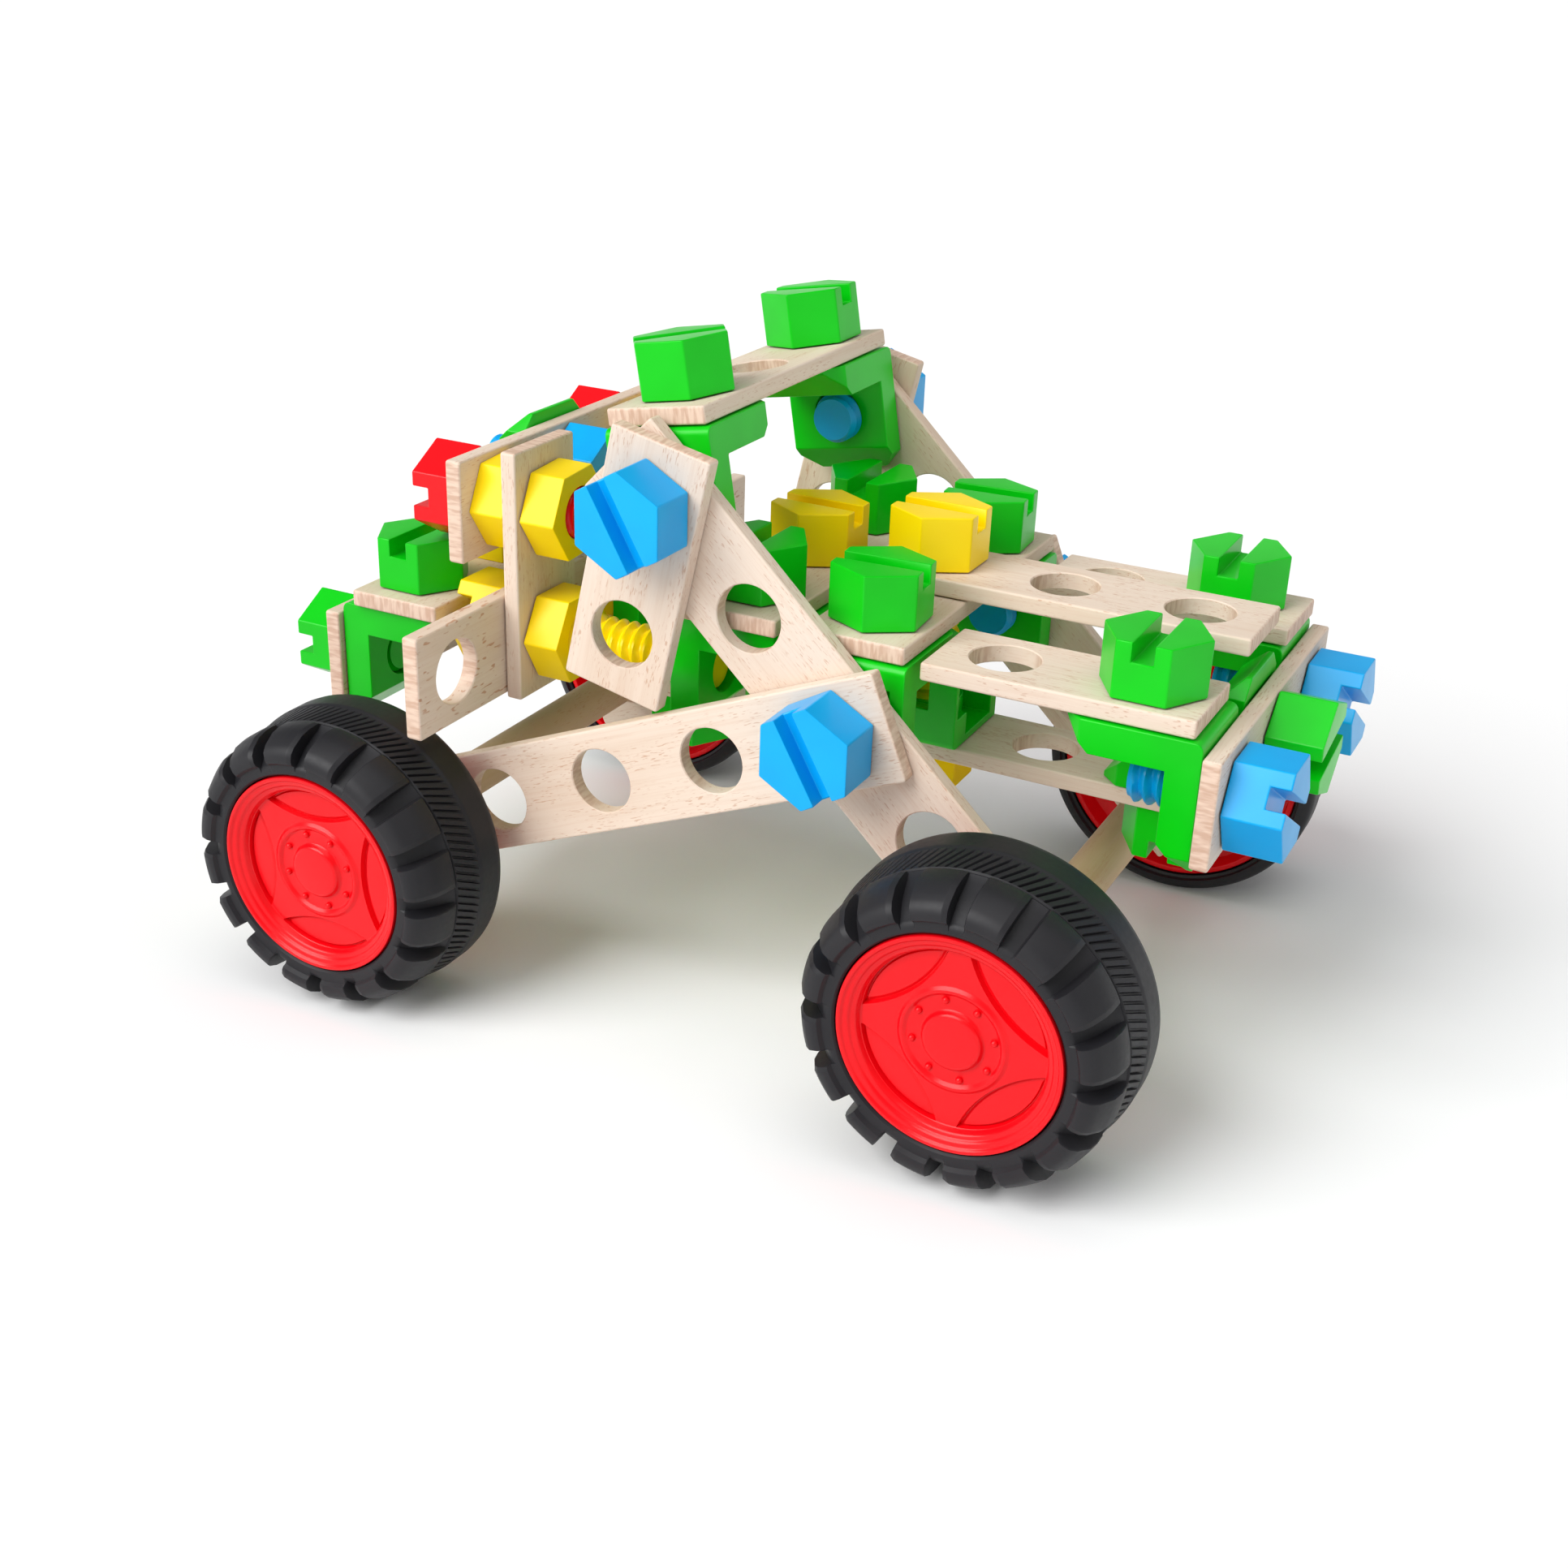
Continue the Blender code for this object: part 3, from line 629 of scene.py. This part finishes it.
class Nodes:
    """A short way to build a material's node tree."""

    def __init__(self, name):
        self.material = bpy.data.materials.new(name)
        self.material.use_nodes = True
        self.tree = self.material.node_tree
        self.shader = self.tree.nodes["Principled BSDF"]

    def add(self, kind, inputs=None, **settings):
        node = self.tree.nodes.new(kind)
        for key, value in settings.items():
            setattr(node, key, value)
        for key, value in (inputs or {}).items():
            self.put(value, node.inputs[key])
        return node

    def put(self, value, socket):
        if isinstance(value, bpy.types.NodeSocket):
            self.tree.links.new(value, socket)
        else:
            socket.default_value = value

    def coordinates(self, location=(0, 0, 0), rotation=(0, 0, 0), scale=(1, 1, 1)):
        source = self.add("ShaderNodeTexCoord").outputs["Object"]
        inputs = {"Vector": source, "Location": location, "Rotation": rotation, "Scale": scale}
        return self.add("ShaderNodeMapping", inputs).outputs[0]

    def noise(self, vector, scale=1.0, detail=2.0, roughness=0.5):
        inputs = {"Vector": vector, "Scale": scale, "Detail": detail, "Roughness": roughness}
        return self.add("ShaderNodeTexNoise", inputs).outputs["Fac"]

    def ramp(self, value, low, high):
        """A soft step from 0 to 1 as the value goes from low to high."""
        inputs = {"Value": value, "From Min": low, "From Max": high}
        return self.add("ShaderNodeMapRange", inputs, interpolation_type="SMOOTHSTEP").outputs[0]

    def spread(self, value, low, high):
        """A value from 0 to 1, stretched to run from low to high."""
        return self.add("ShaderNodeMapRange", {"Value": value, "To Min": low, "To Max": high}).outputs[0]

    def mix(self, share_b, a, b):
        node = self.add("ShaderNodeMix", data_type="RGBA")
        self.put(share_b, node.inputs[0])
        self.put(a, node.inputs[6])
        self.put(b, node.inputs[7])
        return node.outputs[2]

    def drift(self, value, low, high, colours):
        """From the first colour to the second as the value goes from low to high."""
        first, second = colours
        return self.mix(self.ramp(value, low, high), rgb(*first), rgb(*second))

    def math(self, operation, a, b=0.0):
        node = self.add("ShaderNodeMath", operation=operation)
        self.put(a, node.inputs[0])
        self.put(b, node.inputs[1])
        return node.outputs[0]

    def bump(self, height, strength, distance):
        inputs = {"Height": height, "Strength": strength, "Distance": distance}
        return self.add("ShaderNodeBump", inputs).outputs[0]

    def finish(self, **inputs):
        for key, value in inputs.items():
            self.put(value, self.shader.inputs[key.replace("_", " ")])
        return self.material


def rgb(red, green, blue):
    """A colour from 0 to 255 display values, made linear."""
    channels = []
    for value in (red, green, blue):
        value /= 255
        channels.append(value / 12.92 if value <= 0.04045 else ((value + 0.055) / 1.055) ** 2.4)
    return (*channels, 1.0)


def beech(name, seed, colours=BEECH, flecks=0.6, fleck_scale=(480, 3000), along="X"):
    """Sanded beech: soft grain and short brown flecks along the strip, darker end grain."""
    nodes = Nodes(name)
    offset = (0.31 * seed, 0.17 * seed, 0.23 * seed)

    def stretched(long_scale, cross_scale):
        scale = (long_scale, cross_scale, cross_scale)
        if along == "Z":
            scale = (cross_scale, cross_scale, long_scale)
        return nodes.coordinates(location=offset, scale=scale)

    broad = nodes.noise(stretched(9, 70), detail=3)
    lines = nodes.noise(stretched(45, 1500), detail=3, roughness=0.6)
    fleck = nodes.noise(stretched(*fleck_scale), detail=1)
    fleck_zone = nodes.noise(stretched(60, 240), detail=1)
    colour = nodes.drift(broad, 0.35, 0.70, colours)
    colour = nodes.mix(nodes.math("MULTIPLY", nodes.ramp(lines, 0.42, 0.75), 0.35), colour, rgb(*GRAIN))
    spots = nodes.math("MULTIPLY", nodes.ramp(fleck, 0.61, 0.68), nodes.ramp(fleck_zone, 0.38, 0.55))
    colour = nodes.mix(nodes.math("MULTIPLY", spots, flecks), colour, rgb(*FLECK))
    normal = nodes.add("ShaderNodeTexCoord").outputs["Normal"]
    axes = nodes.add("ShaderNodeSeparateXYZ", {"Vector": normal})
    facing = nodes.math("ABSOLUTE", axes.outputs[along])
    slanted = nodes.coordinates(location=offset, rotation=(0.6, 0, 0), scale=(200, 1100, 200))
    end_colour = nodes.drift(nodes.noise(slanted, detail=2), 0.35, 0.65, END_GRAIN)
    colour = nodes.mix(nodes.ramp(facing, 0.45, 0.9), colour, end_colour)
    return nodes.finish(Base_Color=colour, Roughness=nodes.spread(lines, 0.50, 0.68),
                        Normal=nodes.bump(lines, 0.15, 0.00004), Specular_IOR_Level=0.3)


def plastic(name, colours, roughness=0.30):
    """Moulded plastic: even colour with faint flow variation and a very fine grain."""
    nodes = Nodes(name)
    flow = nodes.noise(nodes.coordinates(scale=(60, 60, 60)), detail=2)
    grain = nodes.noise(nodes.coordinates(scale=(2600, 2600, 2600)), detail=1)
    rough = nodes.spread(flow, roughness - 0.05, roughness + 0.07)
    return nodes.finish(Base_Color=nodes.drift(flow, 0.3, 0.7, colours), Roughness=rough,
                        Normal=nodes.bump(grain, 0.12, 0.00004), Specular_IOR_Level=0.28)


def rubber(name):
    """Tyre rubber: near black and dull, with a faint drift and a fine grain."""
    nodes = Nodes(name)
    mould = nodes.noise(nodes.coordinates(scale=(900, 900, 900)), detail=3)
    cloud = nodes.noise(nodes.coordinates(scale=(40, 40, 40)), detail=2)
    return nodes.finish(Base_Color=nodes.drift(cloud, 0.3, 0.7, RUBBER),
                        Roughness=nodes.spread(mould, 0.40, 0.55),
                        Normal=nodes.bump(mould, 0.15, 0.00006), Specular_IOR_Level=0.3)


PLASTICS = {
    "green": plastic("green_plastic", ((0, 200, 16), (0, 190, 14))),
    "blue": plastic("blue_plastic", ((0, 168, 234), (0, 160, 228))),
    "red": plastic("red_plastic", ((232, 6, 20), (226, 5, 18)), 0.24),
    "yellow": plastic("yellow_plastic", ((255, 222, 0), (252, 216, 0))),
}


# --- the pieces ------------------------------------------------------------------------------------

def side_face(side, face):
    """Y of a side strip's lower face, for a strip whose near face is this far from the middle."""
    return face if side > 0 else -(face + STRIP)


def strip_list():
    """Name, holes, first hole, direction and normal of each strip, in the chassis lattice."""
    diagonal, arm = slope(DIAGONAL_SLOPE, 1), slope(ARM_SLOPE, -1)
    lean = Vector((-math.sin(SIDE_STRIP_LEAN), 0.0, -math.cos(SIDE_STRIP_LEAN)))
    roof_origin, roof_normal = roof_corner()
    strips = [
        ("cross_strip_rear", 3, (0.0, -1.0, -STRIP), Y, Z),
        ("cross_strip_front", 3, (CAB_X, -1.0, -STRIP), Y, Z),
        ("deck_plank_middle", 3, (0.0, 0.0, TOUCH), X, Z),
        ("deck_plank_left", 2, (0.95, -1.0, -0.235), X, Z),
        ("deck_plank_right", 2, (1.035, 1.0, -0.235), X, Z),
        ("rear_wall_strip", 3, (WALL_X, -1.0, -0.72), Y, X),
        ("under_beam", 5, (-2.03, 0.0, BEAM_Z), X, Z),
        ("roof_strip", 3, roof_origin - Y + TOUCH * roof_normal, Y, roof_normal),
        ("upper_crossbar", 3, (-3.365, -1.0, 0.317), Y, X),
        ("lower_crossbar", 5, (-3.065, -2.0, -0.69), Y, X),
        ("hood_strip", 3, (-3.915, -1.0, -0.61), Y, Z),
        ("bumper_strip", 3, (-4.595, -1.0, -1.10), Y, X),
    ]
    for name, side in SIDES:
        inner, outer = Y * side_face(side, DIAGONAL_FACE), Y * side_face(side, OUTER_FACE)
        strips += [
            (f"diagonal_{name}", 5, TOP_BOLT + inner, diagonal, Y),
            (f"lower_arm_{name}", 5, MID_BOLT + outer, arm, Y),
            (f"side_strip_{name}", 2, TOP_BOLT + outer + 0.03 * Z, lean, Y),
            (f"upright_{name}", 2, (-2.925, side, 0.356), -Z, X),
        ]
    return strips


def roof_corner():
    """The roof brackets' outer corner in the middle plane, and the roof's normal."""
    along = Vector((math.cos(ROOF_TILT), 0.0, math.sin(ROOF_TILT)))
    normal = Vector((-math.sin(ROOF_TILT), 0.0, math.cos(ROOF_TILT)))
    return TOP_BOLT - 0.03 * along + 0.505 * normal, normal


def bracket_list():
    """Name, outer corner, level leg, upright leg, open side, bolt's colour, sections and turn."""
    roof_origin, roof_normal = roof_corner()
    beam_top = BEAM_Z + STRIP + TOUCH
    deck_under = -STRIP - TOUCH
    wall = WALL_X - TOUCH
    short = [("shank", LEG + GRIP), HEAD]
    hood = [("shank", LEG + TOUCH), ("nut", 0.29), ("shank", GRIP), HEAD]
    rear_long = [("shank", 0.04), NUT, ("shank", GRIP + LEG + 1.05), HEAD]
    front_long = [("shank", 0.17), NUT, ("shank", GRIP + LEG + 0.91), HEAD]
    brackets = [
        ("rear_bracket_middle", (wall, 0.0, beam_top), -X, Z, 1, "green", short, 0),
        ("spacer_bracket_rear", (0.0, -0.495, beam_top), Y, Z, -1, "yellow", rear_long, 0),
        ("spacer_bracket_front", (CAB_X, 0.495, beam_top), -Y, Z, -1, "yellow", front_long, 0),
        ("nose_bracket", (-2.57, 0.0, beam_top), X, Z, 1, "green", short, 0),
        ("hood_bracket_middle", (-3.375, 0.0, -0.17), -X, Z, 1, "blue", hood, 0),
    ]
    for name, side in SIDES:
        brackets += [
            (f"shoulder_bracket_{name}", (0.0, side * BRACKET_FACE, deck_under), -side * Y, -Z, side,
             "green", short, 4),
            (f"cab_bracket_{name}", (CAB_X - LEG_HOLE / PITCH, side * 0.965, deck_under), X, -Z, side,
             "green", short, 0),
            (f"rear_bracket_{name}", (wall, side, -0.245), -X, -Z, 1, "green", short, 0),
            (f"roof_bracket_{name}", roof_origin + side * BRACKET_FACE * Y, -side * Y, -roof_normal,
             side, "green", short, 33 if side < 0 else 0),
            (f"hood_bracket_{name}", (-4.455, side, -0.62), X, -Z, -1, "green", short, 0),
        ]
    return brackets


def bolt_list():
    """Name, thread end, axis, sections, colour and slot turn of each bolt with a node of its own."""
    wall_inner = WALL_X - TOUCH - LEG
    medium = [("shank", MEDIUM_SHANK), HEAD]
    short = [("shank", LEG + GRIP), HEAD]
    nose = [("shank", 0.425), NUT, ("shank", 0.175), HEAD]
    bolts = [
        ("wall_bolt_middle", (wall_inner, 0.0, -0.68), X, short, "green", 10),
        ("grille_bolt", (-3.925, 0.0, 0.32), X, medium, "blue", 0),
        ("nose_bolt", (-2.175, 0.0, -0.668), -X, nose, "red", 0),
    ]
    red = [("shank", 0.035), NUT, ("shank", GRIP), ("nut", 0.29), ("shank", GRIP), HEAD]
    yellow = [("shank", 1.185), NUT, ("shank", 0.29), HEAD]
    for name, side in SIDES:
        bolts += [
            (f"wall_bolt_{name}", (1.94, side, -0.73), X, medium, "blue", -30),
            (f"headlight_bolt_{name}", (-2.45, side, 0.337), -X, red, "red", 0),
            (f"tie_bolt_{name}", (-1.30, 0.985 * side, -0.65), -X, yellow, "yellow", 30),
            (f"bumper_bolt_{name}", (-4.215, side, -1.107), -X, short, "green", 0),
        ]
        for kind, spot in (("top", TOP_BOLT), ("mid", MID_BOLT)):
            end = spot + side * (HEAD_FACE - MEDIUM_SHANK) * Y
            bolts.append((f"{kind}_bolt_{name}", end, side * Y, medium, "blue", -60))
    return bolts


def add_strips():
    meshes = {holes: strip_mesh(holes) for holes in (2, 3, 5)}
    for seed, (name, holes, first_hole, along, normal) in enumerate(strip_list(), start=1):
        if name == "lower_crossbar":
            slot = "flecked_beech"
            wood = beech(f"{name}_beech", seed, flecks=0.85, fleck_scale=(330, 1000))
        else:
            slot = "beech"
            wood = beech(f"{name}_beech", seed)
        add_piece(f"{name}_wood", meshes[holes], place(first_hole, along, normal), wood, "chassis",
                  slot, name)


def add_brackets(head, nut):
    meshes = {(window, side): bracket_mesh(window, side) for window in (False, True) for side in (-1, 1)}
    for name, corner, level, upright, open_side, colour, sections, turn in bracket_list():
        window = name.startswith("spacer")
        add_piece(f"{name}_moulding", meshes[window, open_side], place(corner, level, upright),
                  PLASTICS["green"], "chassis", "green", name)
        through = Vector(corner) + (LEG_HOLE / PITCH) * level
        if window:
            nut_end = GRIP + sum(length for _, length in sections[:2])
            start, axis = through - nut_end * upright, upright
        else:
            start, axis = through + LEG * upright, -upright
        spin = Matrix.Rotation(math.radians(turn), 4, "Z")
        add_bolt(name, head, nut, place(start, level, axis) @ spin, sections, colour)


def add_bolts(head, nut):
    for name, end, axis, sections, colour, turn in bolt_list():
        reference = Z if abs(axis.dot(Z)) < 0.5 else X
        spin = Matrix.Rotation(math.radians(turn), 4, "Z")
        add_bolt(name, head, nut, place(end, reference, axis) @ spin, sections, colour, name)


def add_wheels():
    tyre, hub, axle = tyre_mesh(), hub_mesh(), axle_mesh()
    black = rubber("tyre_rubber")
    for end, spot in (("front", FRONT_AXLE), ("rear", REAR_AXLE)):
        body = f"{end}_axle_set"
        spokes = Matrix.Rotation(math.radians(SPOKE_TURNS[end]), 4, "Z")
        wood = beech(f"{end}_axle_beech", 40 + len(end), colours=AXLE_BEECH, along="Z")
        add_piece(f"{end}_axle_rod", axle, place(spot, X, Y), wood, body, "axle_beech", f"{end}_axle")
        for name, side in SIDES:
            wheel = place(spot + side * WHEEL_INNER * Y, X, side * Y)
            tyre_node, hub_node = f"{end}_tyre_{name}", f"{end}_hub_{name}"
            add_piece(f"{tyre_node}_rubber", tyre, wheel, black, body, "rubber", tyre_node)
            add_piece(f"{hub_node}_disc", hub, wheel @ spokes, PLASTICS["red"], body, "red", hub_node)


# --- floor, light and camera -----------------------------------------------------------------------

def add_stage():
    mesh = bpy.data.meshes.new("floor")
    bm = prism(rectangle(-FLOOR_HALF, FLOOR_HALF, -FLOOR_HALF, FLOOR_HALF), -FLOOR_DEPTH, 0.0)
    bmesh.ops.recalc_face_normals(bm, faces=bm.faces)
    bm.to_mesh(mesh)
    bm.free()
    floor = bpy.data.objects.new("floor", mesh)
    bpy.context.collection.objects.link(floor)
    nodes = Nodes("floor_paper")
    cloud = nodes.noise(nodes.coordinates(scale=(3, 3, 3)), detail=2)
    base = nodes.mix(cloud, (0.90, 0.90, 0.90, 1.0), (0.92, 0.92, 0.92, 1.0))
    mesh.materials.append(nodes.finish(Base_Color=base, Roughness=0.9, Specular_IOR_Level=0.1))


def add_light(name, azimuth, elevation, spread, strength):
    """A broad, distant light, like a softbox; azimuth 0 is in front of the -Y side."""
    light = bpy.data.lights.new(name, "SUN")
    light.angle = math.radians(spread)
    light.energy = strength
    obj = bpy.data.objects.new(name, light)
    bpy.context.collection.objects.link(obj)
    obj.rotation_mode = "QUATERNION"
    obj.rotation_quaternion = view_direction(azimuth, elevation).to_track_quat("Z", "Y")


def view_direction(azimuth, elevation):
    """The unit vector from the model towards a viewer at this azimuth and elevation."""
    a, e = math.radians(azimuth), math.radians(elevation)
    return Vector((math.sin(a) * math.cos(e), -math.cos(a) * math.cos(e), math.sin(e)))


def add_lights():
    """A key light from the viewer's left and two faint fills, shown with plain display colours."""
    add_light("key", -28, 40, 45, 3.0)
    add_light("top", 40, 78, 50, 0.75)
    add_light("fill", 100, 35, 50, 0.25)
    bpy.context.scene.view_settings.view_transform = "Standard"


def add_world():
    """An even studio, white along the horizon and dimmer overhead."""
    world = bpy.data.worlds.new("studio")
    world.use_nodes = True
    tree = world.node_tree
    direction = tree.nodes.new("ShaderNodeTexCoord")
    axes = tree.nodes.new("ShaderNodeSeparateXYZ")
    band = tree.nodes.new("ShaderNodeMapRange")
    for name, value in HORIZON.items():
        band.inputs[name].default_value = value
    tree.links.new(direction.outputs["Generated"], axes.inputs[0])
    tree.links.new(axes.outputs["Z"], band.inputs["Value"])
    tree.links.new(band.outputs[0], tree.nodes["Background"].inputs["Strength"])
    tree.nodes["Background"].inputs["Color"].default_value = (1.0, 1.0, 1.0, 1.0)
    bpy.context.scene.world = world


def add_camera():
    data = bpy.data.cameras.new("camera")
    data.lens = CAMERA_LENS
    data.clip_start = 0.01
    camera = bpy.data.objects.new("camera", data)
    bpy.context.collection.objects.link(camera)
    back = view_direction(*CAMERA_VIEW)
    camera.location = CAMERA_PLACE
    camera.rotation_mode = "QUATERNION"
    roll = Matrix.Rotation(math.radians(CAMERA_ROLL), 4, "Z").to_quaternion()
    camera.rotation_quaternion = back.to_track_quat("Z", "Y") @ roll
    bpy.context.scene.camera = camera


head_shape, nut_shape = head_mesh(), nut_mesh()
add_strips()
add_brackets(head_shape, nut_shape)
add_bolts(head_shape, nut_shape)
add_wheels()
add_stage()
add_lights()
add_world()
add_camera()
